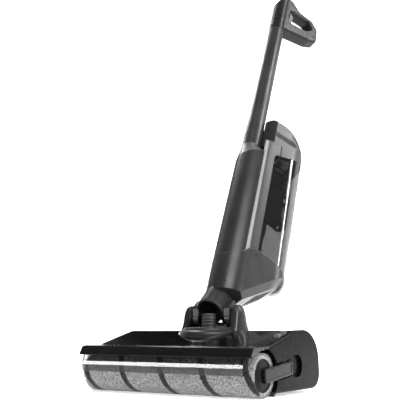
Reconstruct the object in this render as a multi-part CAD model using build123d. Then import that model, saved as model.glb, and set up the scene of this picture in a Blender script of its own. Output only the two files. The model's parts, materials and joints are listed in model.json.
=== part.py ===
from build123d import *
import math
import os

# Wet dry floor scrubber: a cordless upright with a roller head, a neck that reclines and
# swivels, a body with clean and dirty water tanks, a pole and a loop handle.
# Units are millimetres.

# ---- head -------------------------------------------------------------------------------
# Head frame: X across, +Y to the rear, Z up, Y = 0 on the roller axis, Z = 0 on the floor.
ROLLER_R = 29.5
ROLLER_X = 143.0
FLEECE_T = 7.0
CORE_R = ROLLER_R - FLEECE_T - 0.2
CORE_BORE_R = 19.5
AXIS_Z = ROLLER_R
CHAMBER_R = 33.0
SHELL_T = 3.0
PANEL_OUT = 147.0
PANEL_IN = 139.0
HEAD_IN = 138.7
BASE_Z = 5.0
BLADE_Z = 5.8
COVER_REAR = 46.0
SPLIT_Z = 58.0
PANEL_FRONT = 10.0
HEAD_TOP_POINTS = [(PANEL_FRONT, 67.0), (88, 87.5), (162, 90.0), (165, 5.5), (30, BASE_Z), (PANEL_FRONT, 20)]
LIP_Y = -36.5
LIP_Z = 54.0
EDGE_Y = -30.0
EDGE_Z = 65.5
COVER_T = 2.6
LATCH_Y = 51.0
WINDOW_BOTTOM_Z = 30.0
COVER_LEFT = -145.0
WINDOW_LEFT = -144.5
WINDOW_RIGHT_X = 134.0

# ---- rear wheels ------------------------------------------------------------------------
WHEEL_R = 20.0
WHEEL_Y = 176.0
WHEEL_X = 77.0
WHEEL_HALF_W = 9.0
AXLE_R = 3.0

# ---- neck -------------------------------------------------------------------------------
PIVOT = (0.0, 107.0, 106.0)
NECK_LEAN = 50.0
SWIVEL_OFFSET = 16.5
SLEEVE_R = 22.0
SLEEVE_BORE_R = 19.0
SLEEVE_START = -3.5
SLEEVE_END = 62.0
TRUNNION_R = 5.0
EYE_R = 11.0
EYE_IN = 24.0
EYE_OUT = 33.0
EAR_IN = 34.5
EAR_OUT = 50.0
EAR_DEPTH = 30.0
EAR_TOP = 127.0
TURRET_R = 57.0
TURRET_TOP = 93.0
WELL_R = 36.0
HOSE_R = 11.0
HOSE_Y = 91.5
HOSE_LOW = 80.8
HOSE_TOP = 113.0

# ---- body -------------------------------------------------------------------------------
# Body frame: X across, Y from front to rear, Z up the body, with the pole on the Z axis.
BODY_Y = -6.5
BODY_Z = -10.0
BODY_LEAN = 32.5
STEER = 30.4
BODY_R = 42.0
FRONT_C = 21.5
REAR_C = 64.5
WALL = 2.0
SEAM_Z = 117.5
CHIN_OFFSET = 14.0
CHIN_INSET = 13.0
CHIN_CREASE = 10.0
MOTOR_Y = 53.0
MOTOR_Z = 98.0
SEAM_PEAK_Y = 26.0
SEAM_PEAK_Z = 134.0
SHOULDER_Z = 396.0
SHELL_REAR = 8.0
GROOVE_REAR = 15.0
TANK_FRONT = 30.0
BULKHEAD_Y = 24.6
TANK_TOP_FRONT = 366.0
TANK_TOP_REAR = 402.0
CAP_TOP = 470.0
CAP_FRONT = 13.0
CAP_NOSE_HALF = 17.0
CAP_CORNER = 20.0
CAP_CREST_Y = 48.0
CAP_DOME_H = 56.0
FLOAT_Y = 87.0
FLARE_LOW = 362.0
FLARE_TOP = 394.0
COLLAR_R = 17.6
COLLAR_TOP = 452.0
BUTTON_Z = 428.0
POLE_R = 17.0
SPIGOT_R = 15.4
POLE_WALL = 1.3
POLE_BOTTOM = 396.0
POLE_TOP = 896.0
GAP = 0.5

# ---- handle -----------------------------------------------------------------------------
GRIP_R = 17.6
GRIP_BOTTOM = 792.0
LOOP_HALF_W = 14.0
TRIGGER_BACK = 22.4


def cyl_x(radius, x0, x1, y, z):
    """Cylinder along X from x0 to x1."""
    return Pos((x0 + x1) / 2, y, z) * Rot(0, 90, 0) * Cylinder(radius, abs(x1 - x0))


def cyl_y(radius, y0, y1, x, z):
    """Cylinder along Y from y0 to y1."""
    return Pos(x, (y0 + y1) / 2, z) * Rot(90, 0, 0) * Cylinder(radius, abs(y1 - y0))


def cyl_z(radius, z0, z1, x=0, y=0):
    """Cylinder along Z from z0 to z1."""
    return Pos(x, y, (z0 + z1) / 2) * Cylinder(radius, abs(z1 - z0))


def tube_z(outer, inner, z0, z1, x=0, y=0):
    """Tube along Z from z0 to z1."""
    return cyl_z(outer, z0, z1, x, y) - cyl_z(inner, z0 - 1, z1 + 1, x, y)


def tube_x(outer, inner, x0, x1, y, z):
    """Tube along X from x0 to x1."""
    return cyl_x(outer, x0, x1, y, z) - cyl_x(inner, x0 - 1, x1 + 1, y, z)


def block(x0, x1, y0, y1, z0, z1):
    """Box between two corners."""
    return Pos((x0 + x1) / 2, (y0 + y1) / 2, (z0 + z1) / 2) * Box(x1 - x0, y1 - y0, z1 - z0)


def side_face(points, radii=None):
    """Face in the YZ plane from (y, z) points, with a radius for each corner."""
    face = make_face(Polyline(*points, close=True))
    if radii:
        for point, radius in zip(points, radii):
            if radius > 0:
                corner = face.vertices().sort_by_distance((point[0], point[1], 0))[0]
                face = fillet(corner, radius)
    return face


def across(face, x0, x1):
    """Extrude a (y, z) face along X from x0 to x1."""
    return extrude(Plane.YZ.offset(x0) * face, x1 - x0)


def soften(shape, edges, radii):
    """Fillet edges with the first radius that the shape can take."""
    for radius in radii:
        try:
            return fillet(edges, radius)
        except Exception:
            continue
    return shape


# ================================ head ===================================================
def head_face(inset=0.0):
    """Side outline of the head behind the roller, with the roller chamber cut out."""
    face = side_face(HEAD_TOP_POINTS, [0, 60, 46, 22, 0, 0])
    if inset:
        face = offset(face, -inset)
    return face - Pos(0, AXIS_Z) * Circle(CHAMBER_R + inset)


def head_ring():
    """Wall of the head as a side outline."""
    return head_face() - head_face(SHELL_T)


def wheel_pod(side):
    """Fork behind the head that carries one rear wheel."""
    outer = side_face([(140, 12), (190, 12), (197, 30), (184, 47), (150, 54), (140, 54)],
                      [0, 3, 8, 10, 6, 0])
    pod = across(outer, -16.5, 16.5)
    well = block(-10.5, 10.5, WHEEL_Y - WHEEL_R - 2, 210, -5, WHEEL_R * 2 + 2)
    pod = pod - well - cyl_x(AXLE_R, -20, 20, WHEEL_Y, WHEEL_R)
    return Pos(side * WHEEL_X, 0, 0) * pod


def make_chassis():
    """Lower tray with the chamber wall, rear wall and wheel forks."""
    low = head_ring() & Pos(90, SPLIT_Z / 2) * Rectangle(200, SPLIT_Z)
    tray = across(low, -140.7, HEAD_IN)
    for side in (-1, 1):
        pod = wheel_pod(side)
        head_inside = across(head_face(), -140, 138)
        tray = tray + (pod - head_inside)
        tray = tray - block(side * WHEEL_X - 10.5, side * WHEEL_X + 10.5, 150, 168, -5, 42)
    inlet = block(-45, 45, 20, 42, 22, 44)
    tray = tray - inlet
    ribs = [block(x, x + 2, 40, 158, 7, 30) for x in (-110, -56, 54, 108)]
    for rib in ribs:
        tray = tray + (rib & across(head_face(1.5), -140, 138))
    for x in (-100, 100):
        tray = tray - cyl_z(2.0, 0, 20, x, 60) - cyl_z(2.0, 0, 20, x, 120)
    return tray - block(-150, 150, 20, 44.5, 0, BLADE_Z)


def make_deck():
    """Glossy rear top cover of the head."""
    high = head_ring() & Pos(150, 100) * Rectangle(2 * (150 - COVER_REAR - 0.4), 2 * (100 - SPLIT_Z - 0.3))
    deck = across(high, -140.7, HEAD_IN)
    deck = deck - cyl_z(WELL_R - 4, 50, 100, 0, PIVOT[1])
    deck = deck - latch_frame() * block(130.5, 139, -1, 35, -2.5, 5)
    return deck


def panel_face():
    """Side outline of a side panel, arched round the roller end."""
    face = side_face(HEAD_TOP_POINTS, [0, 60, 46, 22, 0, 0])
    return face - Pos(0, AXIS_Z) * Circle(CHAMBER_R + 1)


def arm_outline(grow, rear):
    """Rounded bar outline of the pull-out arm, grown by a margin."""
    bar = Pos((rear - 8) / 2, 0) * RectangleRounded(rear + 8 + 2 * grow, 19 + 2 * grow, 5 + grow)
    return Pos(2, AXIS_Z) * Rot(0, 0, 6.5) * bar


def make_side_panel_right():
    """Right side panel with the pocket for the arm and its finger recess."""
    panel = across(panel_face(), PANEL_IN, PANEL_OUT)
    rim = panel.faces().sort_by(Axis.X)[-1].edges().filter_by(lambda e: e.center().Y > 34)
    panel = soften(panel, rim, (4.0, 3.0, 2.0, 1.0))
    pocket = across(arm_outline(2.2, 72), PANEL_OUT - 6.2, PANEL_OUT + 5)
    recess = across(Pos(88, AXIS_Z + 9.5) * RectangleRounded(34, 30, 13), PANEL_OUT - 4.5, PANEL_OUT + 5)
    return panel - pocket - recess


def make_side_panel_left():
    """Left side panel with the cheek that carries the drive motor."""
    panel = across(panel_face(), -PANEL_OUT - 2, -PANEL_IN - 2)
    rim = panel.faces().sort_by(Axis.X)[0].edges().filter_by(lambda e: e.center().Y > 34)
    panel = soften(panel, rim, (4.0, 3.0, 2.0, 1.0))
    cheek = cyl_x(20, -149, -144, 0, AXIS_Z) + block(-149, -144, 0, 38, 14, 46)
    panel = panel + cheek
    return panel - cyl_x(6.0, -150, -143, 0, AXIS_Z)


def cover_skin(inset):
    """Side outline of the front cover's upper surface at a depth below the surface."""
    return [
        (LIP_Y + inset, LIP_Z),
        (EDGE_Y + inset * 0.8, EDGE_Z - inset),
        (10, 67.0 - inset),
        (COVER_REAR, 76.4 - inset),
    ]


def make_front_cover():
    """Glossy front top cover with its raised front edge."""
    top = cover_skin(0)
    under = cover_skin(COVER_T)
    face = make_face(Polyline(*top, *reversed(under), close=True))
    cover = across(face, COVER_LEFT, 146.5)
    edge = cover.edges().filter_by(Axis.X).sort_by_distance((0, EDGE_Y, EDGE_Z))[0]
    cover = soften(cover, [edge], (2.0, 1.0))
    bead = across(Pos(EDGE_Y + 2.5, EDGE_Z - 0.6) * Circle(1.6), COVER_LEFT + 3, 146.5)
    end = side_face([(-33, 56), (-27, 63), (10, 64.6), (COVER_REAR, 74), (COVER_REAR, 66), (22, 61), (0, 64),
                     (-16, 60), (-27, 54.2), (-33, 54.2)])
    left_end = across(end, COVER_LEFT, COVER_LEFT + 2.0)
    right_end = across(end, 144.5, 146.5)
    cover = cover + bead + left_end + right_end
    corners = [edge for edge in cover.edges() if edge.length < 20 and edge.center().X < COVER_LEFT + 3
               and edge.center().Y < EDGE_Y - 1.5]
    cover = soften(cover, corners, (10.0, 6.0, 3.0))
    beside_right = block(HEAD_IN, 150, PANEL_FRONT - 0.5, 60, 40, 100)
    beside_left = block(-150, -HEAD_IN - 2, PANEL_FRONT - 0.5, 60, 40, 100)
    return cover - beside_right - beside_left


def window_face(thickness):
    """Side outline of the clear window in front of the roller."""
    outer = ThreePointArc((LIP_Y + 1.4, LIP_Z - 1.5), (LIP_Y - 1.0, 42), (LIP_Y + 1.2, WINDOW_BOTTOM_Z))
    foot = Line(outer @ 1, (LIP_Y + 1.2 + thickness, WINDOW_BOTTOM_Z))
    inner = ThreePointArc(foot @ 1, (LIP_Y - 1.0 + thickness, 42), (LIP_Y + 1.4 + thickness, LIP_Z - 1.5))
    head = Line(inner @ 1, outer @ 0)
    return make_face([outer, foot, inner, head])


def make_cover_window():
    """Smoked clear splash window with a rounded left end."""
    window = across(window_face(2.0), WINDOW_LEFT, WINDOW_RIGHT_X)
    end_face = side_face([(-35, 51.6), (-37, 42), (-35, 30.2), (-27, 30.2), (-24, 42), (-24, 51.6)],
                         [0, 8, 3, 6, 6, 0])
    return window + across(end_face, WINDOW_LEFT, WINDOW_LEFT + 1.6)


def make_cover_lip():
    """Soft black lip under the cover's front edge, with the solid band at its right end."""
    lip = across(Pos(LIP_Y + 3.0, LIP_Z - 0.75) * RectangleRounded(5.4, 1.3, 0.5), COVER_LEFT + 0.2, 146.3)
    band = across(window_face(2.4), WINDOW_RIGHT_X + 0.3, 141)
    band = band - block(WINDOW_RIGHT_X - 1, 150, -60, 0, 20, 36)
    return lip + band


def make_turret():
    """Round base on the deck with two upright ears for the neck's trunnions."""
    cone = Pos(0, PIVOT[1], (70 + TURRET_TOP) / 2) * Cone(TURRET_R + 6, TURRET_R - 6, TURRET_TOP - 70)
    rim = cone.faces().sort_by(Axis.Z)[-1].edges()
    cone = soften(cone, rim, (3.0, 1.5))
    turret = cone
    for side in (-1, 1):
        x0 = min(side * EAR_IN, side * EAR_OUT)
        front = PIVOT[1] - EAR_DEPTH / 2
        ear = block(x0, x0 + EAR_OUT - EAR_IN, front, front + EAR_DEPTH, 80, EAR_TOP)
        top = ear.faces().sort_by(Axis.Z)[-1].edges().filter_by(Axis.X)
        ear = soften(ear, top, (11.0, 8.0))
        outer = ear.faces().sort_by(Axis.X)[-1 if side > 0 else 0].edges()
        ear = soften(ear, outer, (7.0, 5.0, 3.0))
        turret = turret + ear
    turret = turret - cyl_z(WELL_R, 60, TURRET_TOP + 0.1, 0, PIVOT[1])
    turret = turret - block(-EAR_IN, EAR_IN, 60, 160, TURRET_TOP - 5, 140)
    turret = turret - across(head_face(), -140, 140)
    turret = turret - block(-80, 80, COVER_REAR - 20, COVER_REAR + 0.6, 60, 100)
    turret = turret - block(-80, 80, 30, 200, 50, 74)
    for side in (-1, 1):
        turret = turret - cyl_x(TRUNNION_R, side * 30, side * 46, PIVOT[1], PIVOT[2])
    biggest = turret.solids().sort_by(SortBy.VOLUME)[-1]
    return biggest


def make_hinge_pins():
    """Two steel trunnion pins held in the turret's ears."""
    return [cyl_x(TRUNNION_R, side * 23.5, side * 45.9, PIVOT[1], PIVOT[2]) for side in (-1, 1)]


def make_head_duct():
    """Suction duct from the roller chamber to the round outlet under the neck."""
    outer = block(-44.5, 44.5, 37, 92, 22.5, 43.5) + cyl_z(17, 40, 78, 0, HOSE_Y)
    outer = outer + block(-17, 17, 80, 97, 22.5, 43.5)
    inner = block(-42.5, 42.5, 30, 90, 24.5, 41.5) + cyl_z(15, 38, 80, 0, HOSE_Y)
    return outer - inner


def make_outlet_seal():
    """Rubber ring on the duct outlet."""
    return tube_z(17.2, 13, 78.1, 80.6, 0, HOSE_Y)


def make_scraper():
    """Comb that wrings the fleece."""
    bar = block(-136, 136, 23.5, 26.5, 44, 57)
    bar = bar & tube_x(32.7, 30.0, -136, 136, 0, AXIS_Z)
    return bar


def make_spray_bar():
    """Water bar above the roller with its row of spray holes."""
    bar = tube_x(3.4, 2.0, -120, 120, 25.5, 61.8)
    for step in range(-5, 6):
        bar = bar - cyl_y(0.6, 18, 25, step * 22, 61.8)
    return bar


def make_squeegee():
    """Rubber blade under the head behind the roller."""
    top = BLADE_Z - 0.05
    profile = side_face([
        (33.5, top), (43, top), (43, 3.6), (37.8, 0.6), (36.2, 0.6), (36.0, 3.4), (33.5, 3.8),
    ])
    return across(profile, -138, 138)


def make_wheel(side):
    """Rear wheel hub with spokes and a bore for the axle."""
    hub = cyl_x(WHEEL_R - 3.2, -WHEEL_HALF_W + 1, WHEEL_HALF_W - 1, WHEEL_Y, WHEEL_R)
    for face_x in (-WHEEL_HALF_W, WHEEL_HALF_W):
        hub = hub - tube_x(WHEEL_R - 6, 6, face_x - 4, face_x + 4, WHEEL_Y, WHEEL_R)
    hub = hub - cyl_x(AXLE_R + 0.06, -20, 20, WHEEL_Y, WHEEL_R)
    return Pos(side * WHEEL_X, 0, 0) * hub


def make_tyre(side):
    """Rubber tyre with two grooves."""
    tyre = tube_x(WHEEL_R, WHEEL_R - 3.2, -WHEEL_HALF_W, WHEEL_HALF_W, WHEEL_Y, WHEEL_R)
    for groove in (-3.5, 2.5):
        tyre = tyre - tube_x(WHEEL_R + 1, WHEEL_R - 1, groove, groove + 1, WHEEL_Y, WHEEL_R)
    return Pos(side * WHEEL_X, 0, 0) * tyre


def make_wheel_axles():
    """Steel pins across the wheel forks."""
    return [cyl_x(AXLE_R, side * WHEEL_X - 16.4, side * WHEEL_X + 16.4, WHEEL_Y, WHEEL_R) for side in (-1, 1)]


def make_base_screws():
    """Screws from below into the chassis."""
    screws = []
    for x in (-100, 100):
        for y in (60, 120):
            screws.append(cyl_z(1.9, BASE_Z + 0.6, 16, x, y))
    return screws


def latch_frame():
    """Location on the sloping deck at the front end of the cover latch."""
    rise = (HEAD_TOP_POINTS[1][1] - HEAD_TOP_POINTS[0][1]) / (HEAD_TOP_POINTS[1][0] - HEAD_TOP_POINTS[0][0])
    z = HEAD_TOP_POINTS[0][1] + rise * (LATCH_Y - HEAD_TOP_POINTS[0][0])
    return Pos(0, LATCH_Y, z) * Rot(math.degrees(math.atan(rise)), 0, 0)


def make_latch_base():
    """Dark recessed track of the cover latch on the right top edge."""
    return latch_frame() * block(130.8, 138.4, -0.6, 34.6, -2.3, -1.1)


def make_latch_tabs():
    """Thumb slide of the cover latch: two raised tabs on a thin runner."""
    runner = block(131.4, 137.8, 1.5, 28, -0.7, 0.5)
    tabs = block(131.4, 138.0, 1.5, 10.5, -0.7, 2.8) + block(131.4, 138.0, 20, 28, -0.7, 2.8)
    return latch_frame() * (runner + tabs)


# ================================ roller and arm =========================================
def make_brush_motor():
    """Motor can inside the roller, held by its stub in the left cheek."""
    can = cyl_x(17.5, -138, -30, 0, AXIS_Z) + cyl_x(12, -143.5, -138, 0, AXIS_Z)
    return can + cyl_x(5.95, -148.5, -143.5, 0, AXIS_Z)


def make_brush_gearbox():
    """Planetary gearbox on the end of the brush motor with its output shaft."""
    box = cyl_x(17.0, -29.8, 0, 0, AXIS_Z)
    return box + cyl_x(4.0, 0, 14, 0, AXIS_Z)


def lugs(inner, outer, width, x0, x1, start):
    """Three driving lugs round the roller axis."""
    result = []
    for index in range(3):
        lug = block(x0, x1, -width / 2, width / 2, inner, outer)
        result.append(Pos(0, 0, AXIS_Z) * Rot(start + index * 120, 0, 0) * lug)
    return result


def make_drive_coupling():
    """Coupling on the gearbox shaft with three lugs that drive the roller core."""
    disc = cyl_x(15.5, 2, 13, 0, AXIS_Z)
    for lug in lugs(14, 18.8, 6, 2, 13, 0):
        disc = disc + lug
    return disc - cyl_x(4.05, 0, 14.5, 0, AXIS_Z)


def make_roller_core():
    """Rigid tube of the roller with inner driving ribs and a bearing seat."""
    core = tube_x(CORE_R, CORE_BORE_R, -141, 138.5, 0, AXIS_Z)
    for rib in lugs(16.2, 20.5, 6, 3, 18, 60):
        core = core + rib
    return core + tube_x(20.5, 11.05, 122, 134, 0, AXIS_Z)


def make_roller_fleece():
    """Fleece sleeve of the roller with softly rounded ends."""
    sleeve = cyl_x(ROLLER_R, -ROLLER_X, ROLLER_X, 0, AXIS_Z)
    rims = sleeve.edges().filter_by(GeomType.CIRCLE)
    sleeve = soften(sleeve, rims, (4.5, 3.0))
    return sleeve - cyl_x(CORE_R + 0.05, -150, 150, 0, AXIS_Z)


def make_roller_bearing():
    """Ball bearing in the right end of the roller."""
    return tube_x(11.0, 6.05, 123, 131, 0, AXIS_Z)


def make_roller_arm():
    """Pull-out arm with the stub that carries the roller's right end."""
    bar = across(arm_outline(0, 70), 144.6, 150.0)
    outer = bar.faces().sort_by(Axis.X)[-1].edges()
    bar = soften(bar, outer, (1.8, 1.2))
    inset = across(arm_outline(-4.0, 70), 149.4, 151)
    bar = bar - inset
    return bar + cyl_x(6.0, 119, 145, 0, AXIS_Z) - cyl_x(2.2, 118, 140, 0, AXIS_Z)


def make_roller_end_disc():
    """Ringed disc that closes the roller's right end."""
    disc = cyl_x(21.6, 139.2, 143.6, 0, AXIS_Z) - tube_x(20, 16.5, 142.6, 145, 0, AXIS_Z)
    disc = disc - cyl_x(6.02, 138, 146, 0, AXIS_Z)
    return disc


# ================================ neck ===================================================
def make_neck_sleeve():
    """Neck tube along the swivel axis, with two eyes on the recline axis.

    Drawn with Z along the swivel axis and the origin on the recline axis.
    """
    sleeve = cyl_z(SLEEVE_R, SLEEVE_START, SLEEVE_END, 0, -SWIVEL_OFFSET)
    rim = sleeve.faces().sort_by(Axis.Z)[0].edges()
    sleeve = soften(sleeve, rim, (1.5,))
    for side in (-1, 1):
        x0 = min(side * 12.0, side * EYE_OUT)
        arm = side_face([(-20, 2), (-8, -7), (8, -7), (9, 6), (2, 16), (-20, 22)], [6, 5, 5, 4, 6, 4])
        arm = across(arm, x0, x0 + EYE_OUT - 12.0) + cyl_x(EYE_R, side * EYE_IN, side * EYE_OUT, 0, 0)
        sleeve = sleeve + (arm - block(-EYE_IN + 1.0, EYE_IN - 1.0, -40, 30, -20, SLEEVE_START + 2))
    sleeve = sleeve - cyl_z(SLEEVE_BORE_R, -20, SLEEVE_END + 1, 0, -SWIVEL_OFFSET)
    for side in (-1, 1):
        sleeve = sleeve - cyl_x(TRUNNION_R + 0.06, side * 18, side * 40, 0, 0)
    return sleeve


def make_neck_hose():
    """Ribbed suction hose that rises from the deck into the neck."""
    outline = [(HOSE_R - 1.6, HOSE_LOW)]
    pitch = 4.6
    count = int((HOSE_TOP - HOSE_LOW) / pitch)
    for index in range(count):
        base = HOSE_LOW + index * pitch
        outline = outline + [(HOSE_R, base + 1.0), (HOSE_R, base + 2.6), (HOSE_R - 1.6, base + 3.6)]
        outline = outline + [(HOSE_R - 1.6, base + pitch)]
    outline = outline + [(HOSE_R - 3.2, outline[-1][1]), (HOSE_R - 3.2, HOSE_LOW)]
    profile = make_face(Polyline(*outline, close=True))
    return Pos(0, HOSE_Y, 0) * revolve(Plane.XZ * profile, Axis.Z)


def make_swivel_ring():
    """Steel thrust ring on top of the neck sleeve."""
    return tube_z(SLEEVE_R + 0.3, 16.5, SLEEVE_END + 0.4, SLEEVE_END + 2.6)


# ================================ body ===================================================
def stadium(inset=0.0):
    """Cross-section of the body: round front and rear with straight sides."""
    length = REAR_C - FRONT_C
    slot = SlotCenterToCenter(length, 2 * (BODY_R - inset))
    return Pos(0, (FRONT_C + REAR_C) / 2) * Rot(0, 0, 90) * slot


def column(inset, z0, z1):
    """Upright piece of the body's outline."""
    return Pos(0, 0, z0) * extrude(stadium(inset), z1 - z0)


def seam_curve(shift):
    """Smooth seam from the front ring up to the peak and down to the rear."""
    front = Line((-60, SEAM_Z - 3 + shift), (-15, SEAM_Z - 3 + shift))
    peak = (SEAM_PEAK_Y, SEAM_PEAK_Z + shift)
    rise = Spline((-15, SEAM_Z - 3 + shift), (4, SEAM_Z + 2 + shift), peak, tangents=[(1, 0), (1, 0)])
    fall = Spline(peak, (58, SEAM_PEAK_Z - 3 + shift), (112, 108 + shift), tangents=[(1, 0), (1, -0.75)])
    return [front, rise, fall]


def above_seam(shift, top):
    """Everything above the seam, as a solid across the body."""
    edges = seam_curve(shift)
    rear = 108 + shift
    close = Polyline((112, rear), (160, rear), (160, top), (-60, top), (-60, SEAM_Z - 3 + shift))
    return across(make_face(edges + [close]), -80, 80)


def slope_plane(rise):
    """Plane parallel to the chin's sloping underside, a distance above it."""
    return Plane(origin=(0, 0, CHIN_OFFSET + rise * math.sqrt(2)), x_dir=(1, 0, 0), z_dir=(0, -1, 1))


def slope_outline(inset, rise):
    """Outline of the body's column, inset all round, on a plane parallel to the chin's underside."""
    return section(column(inset, -120, 260), section_by=slope_plane(rise)).faces()[0]


def chin_solid(inset):
    """Lower body below the seam: the column cut by the chamfered chin and by the swivel plane."""
    drop = inset * math.sqrt(2)
    crease = CHIN_CREASE + 0.5 * inset
    high = CHIN_OFFSET + crease * math.sqrt(2)
    bevel = loft([slope_outline(CHIN_INSET + 0.3 * inset, inset), slope_outline(inset, crease)], ruled=True)
    above_crease = across(side_face([(-40, high - 40), (140, high + 140), (140, 300), (-40, 300)]), -80, 80)
    body = (column(inset, -120, 240) & above_crease) + bevel
    keep = side_face([(-40, 46 + inset), (24, 39 + inset), (30, CHIN_OFFSET + 30 + drop - 2),
                      (140, CHIN_OFFSET + 140 + drop - 2), (140, 260), (-40, 260)])
    return body & across(keep, -80, 80)


def swivel_frame():
    """Location of the swivel axis in the body frame, level with the recline axis."""
    tilt = math.radians(NECK_LEAN - BODY_LEAN)
    foot_y = -SWIVEL_OFFSET * math.cos(tilt) - BODY_Y
    foot_z = SWIVEL_OFFSET * math.sin(tilt) - BODY_Z
    return Pos(0, foot_y, foot_z) * Rot(-(NECK_LEAN - BODY_LEAN), 0, 0)


def make_lower_body():
    """Lower body shell with the chin, the swivel socket and the tank floor."""
    outer = chin_solid(0) - above_seam(0, 400)
    inner = chin_solid(WALL + 0.2)
    floor_cut = above_seam(-3.0, 400) & block(-80, 80, BULKHEAD_Y, 160, 0, 400)
    inner = inner - floor_cut
    shell = outer - inner
    socket = swivel_frame() * cyl_z(SLEEVE_R + 3.2, 15, SLEEVE_END + 5)
    socket = socket & chin_solid(0)
    shell = shell + socket
    bore = swivel_frame() * cyl_z(SLEEVE_R + 0.4, -10, SLEEVE_END + 3)
    port = swivel_frame() * cyl_z(16, 30, SLEEVE_END + 20)
    shell = shell - bore - port
    grille_seat = Pos(0, 67, 67 + CHIN_OFFSET) * Rot(45, 0, 0) * Box(38, 44, 8)
    return shell - grille_seat


def make_exhaust_grille():
    """Louvred outlet plate in the chin's underside."""
    plate = Box(37.4, 43.4, 2.4)
    for index in range(9):
        plate = plate - Pos(0, -18 + index * 4.5, 0) * Box(30, 2.0, 6)
    return Pos(0, 66.3, 67.7 + CHIN_OFFSET) * Rot(45, 0, 0) * plate


def make_front_shell():
    """Half-round front shell with the pole socket at its top."""
    front = block(-80, 80, -60, SHELL_REAR, 0, 600)
    front_half = Pos(0, SHELL_REAR - 50) * Rectangle(200, 100)
    front_inside = Pos(0, SHELL_REAR - 49.9) * Rectangle(200, 100)
    outer = column(0, 90, FLARE_LOW) & front
    inner = column(WALL, 80, FLARE_LOW - WALL) & block(-80, 80, -60, SHELL_REAR + 1, 0, 600)
    flare_low = Pos(0, 0, FLARE_LOW) * (stadium(0) & front_half)
    flare_high = Pos(0, 0, FLARE_TOP) * (Circle(COLLAR_R) & front_half)
    flare = loft([flare_low.face(), flare_high.face()])
    hollow_low = Pos(0, 0, FLARE_LOW - 4) * (stadium(WALL) & front_inside)
    hollow_high = Pos(0, 0, FLARE_TOP - 2) * (Circle(SPIGOT_R) & front_inside)
    flare = flare - loft([hollow_low.face(), hollow_high.face()])
    collar = cyl_z(COLLAR_R, FLARE_TOP - 6, COLLAR_TOP)
    shell = (outer - inner) + flare + collar
    shell = shell - cyl_z(SPIGOT_R + 0.02, POLE_BOTTOM, COLLAR_TOP + 5)
    shell = shell & above_seam(0.15, 600)
    button_hole = cyl_y(4.3, -30, -10, 0, BUTTON_Z)
    return shell - button_hole


def make_rear_frame():
    """Spine of the body: bulkhead, side strips with the channel, and the floor of the tank bay."""
    band = column(0, 90, SHOULDER_Z) & block(-80, 80, SHELL_REAR + 0.25, TANK_FRONT + 10, 0, 600)
    band = band - across(offset(tank_side(0), 0.5), -80, 80)
    hollow = column(WALL, 80, 420) & block(-80, 80, -60, BULKHEAD_Y, 0, 600)
    frame = band - hollow
    channel = (column(-5, 60, 600) - column(2.6, 50, 620)) & block(-80, 80, -60, GROOVE_REAR, 0, 600)
    wedge = across(side_face([(SHELL_REAR, 60), (GROOVE_REAR - 1, 60), (GROOVE_REAR, 150), (GROOVE_REAR, 600),
                              (SHELL_REAR, 600)]), -80, 80)
    lining = column(1.9, 90, SHOULDER_Z) - column(4.6, 80, 420)
    lining = lining & block(-80, 80, SHELL_REAR + 0.25, 20, 0, 600)
    frame = (frame + lining) - (channel & wedge)
    frame = frame & above_seam(0.15, 600)
    neck_port = cyl_y(12.3, 0, 60, 0, 152)
    return frame - neck_port


def make_pole():
    """Slim aluminium pole with a reduced spigot at each end."""
    pole = cyl_z(POLE_R, COLLAR_TOP + 0.3, GRIP_BOTTOM - 0.3) + cyl_z(SPIGOT_R, POLE_BOTTOM + 0.2, POLE_TOP)
    pole = pole - cyl_z(SPIGOT_R - POLE_WALL, POLE_BOTTOM, POLE_TOP + 1)
    pole = pole - cyl_z(POLE_R - POLE_WALL, COLLAR_TOP + 4, GRIP_BOTTOM - 4)
    return pole - cyl_y(4.3, -30, -10, 0, BUTTON_Z)


def make_pole_button():
    """Spring catch that locks the pole in the body's collar."""
    button = cyl_y(4.0, -COLLAR_R - 0.4, -SPIGOT_R + 3.2, 0, BUTTON_Z)
    return button & cyl_z(COLLAR_R + 0.3, BUTTON_Z - 10, BUTTON_Z + 10)


def make_battery_case():
    """Box round the cells."""
    outer = block(-29.0, 29.0, 3.4, 23.8, 166, 303)
    inner = block(-27.8, 27.8, 4.4, 22.8, 167, 302)
    return outer - inner


def make_battery_cells():
    """Six round cells in two rows."""
    cells = []
    for row in range(2):
        for x in (-18.5, 0, 18.5):
            cells.append(cyl_z(9.1, 168.2 + row * 66.5, 233.2 + row * 66.5, x, 13.6))
    return cells


def make_circuit_board():
    """Control board above the battery."""
    board = block(-26, 26, 22.6, 24.2, 308, 372)
    for z in (320, 340, 360):
        board = board + block(-8, 8, 21.4, 22.7, z - 6, z + 6)
    return board


def make_clean_water_tank():
    """Clean water tank in the front bay, with a bay for the battery."""
    outer = column(WALL + 3.0, 160, FLARE_LOW - 6) & block(-80, 80, -60, 20.8, 0, 600)
    bay = block(-60, 60, 2.4, 40, 100, 304.5)
    inner = column(WALL + 4.6, 161.6, FLARE_LOW - 7.6) & block(-80, 80, -60, 19.2, 0, 600)
    inner_bay = block(-60, 60, 0.8, 40, 100, 306.1)
    return (outer - bay) - (inner - inner_bay)


def make_inlet_duct():
    """Pipe from the swivel to the port of the dirty water tank."""
    start = swivel_frame() * Pos(0, 0, SLEEVE_END + 5.2)
    low = (start.position.Y, start.position.Z)
    end = (0, TANK_FRONT - 1.4, 152)
    path = FilletPolyline((0, low[0], low[1]), (0, 10, 106), (0, 10, 151), end, radius=13)
    outer = sweep(Plane(path @ 0, z_dir=path % 0) * Circle(12.0), path)
    inner = sweep(Plane(path @ 0, z_dir=path % 0) * Circle(10.4), path)
    return outer - inner


def make_water_pump():
    """Small pump beside the inlet duct."""
    return block(-30, -13.5, 6, 22, 117, 150) + cyl_z(3, 150, 156, -22, 14)


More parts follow.
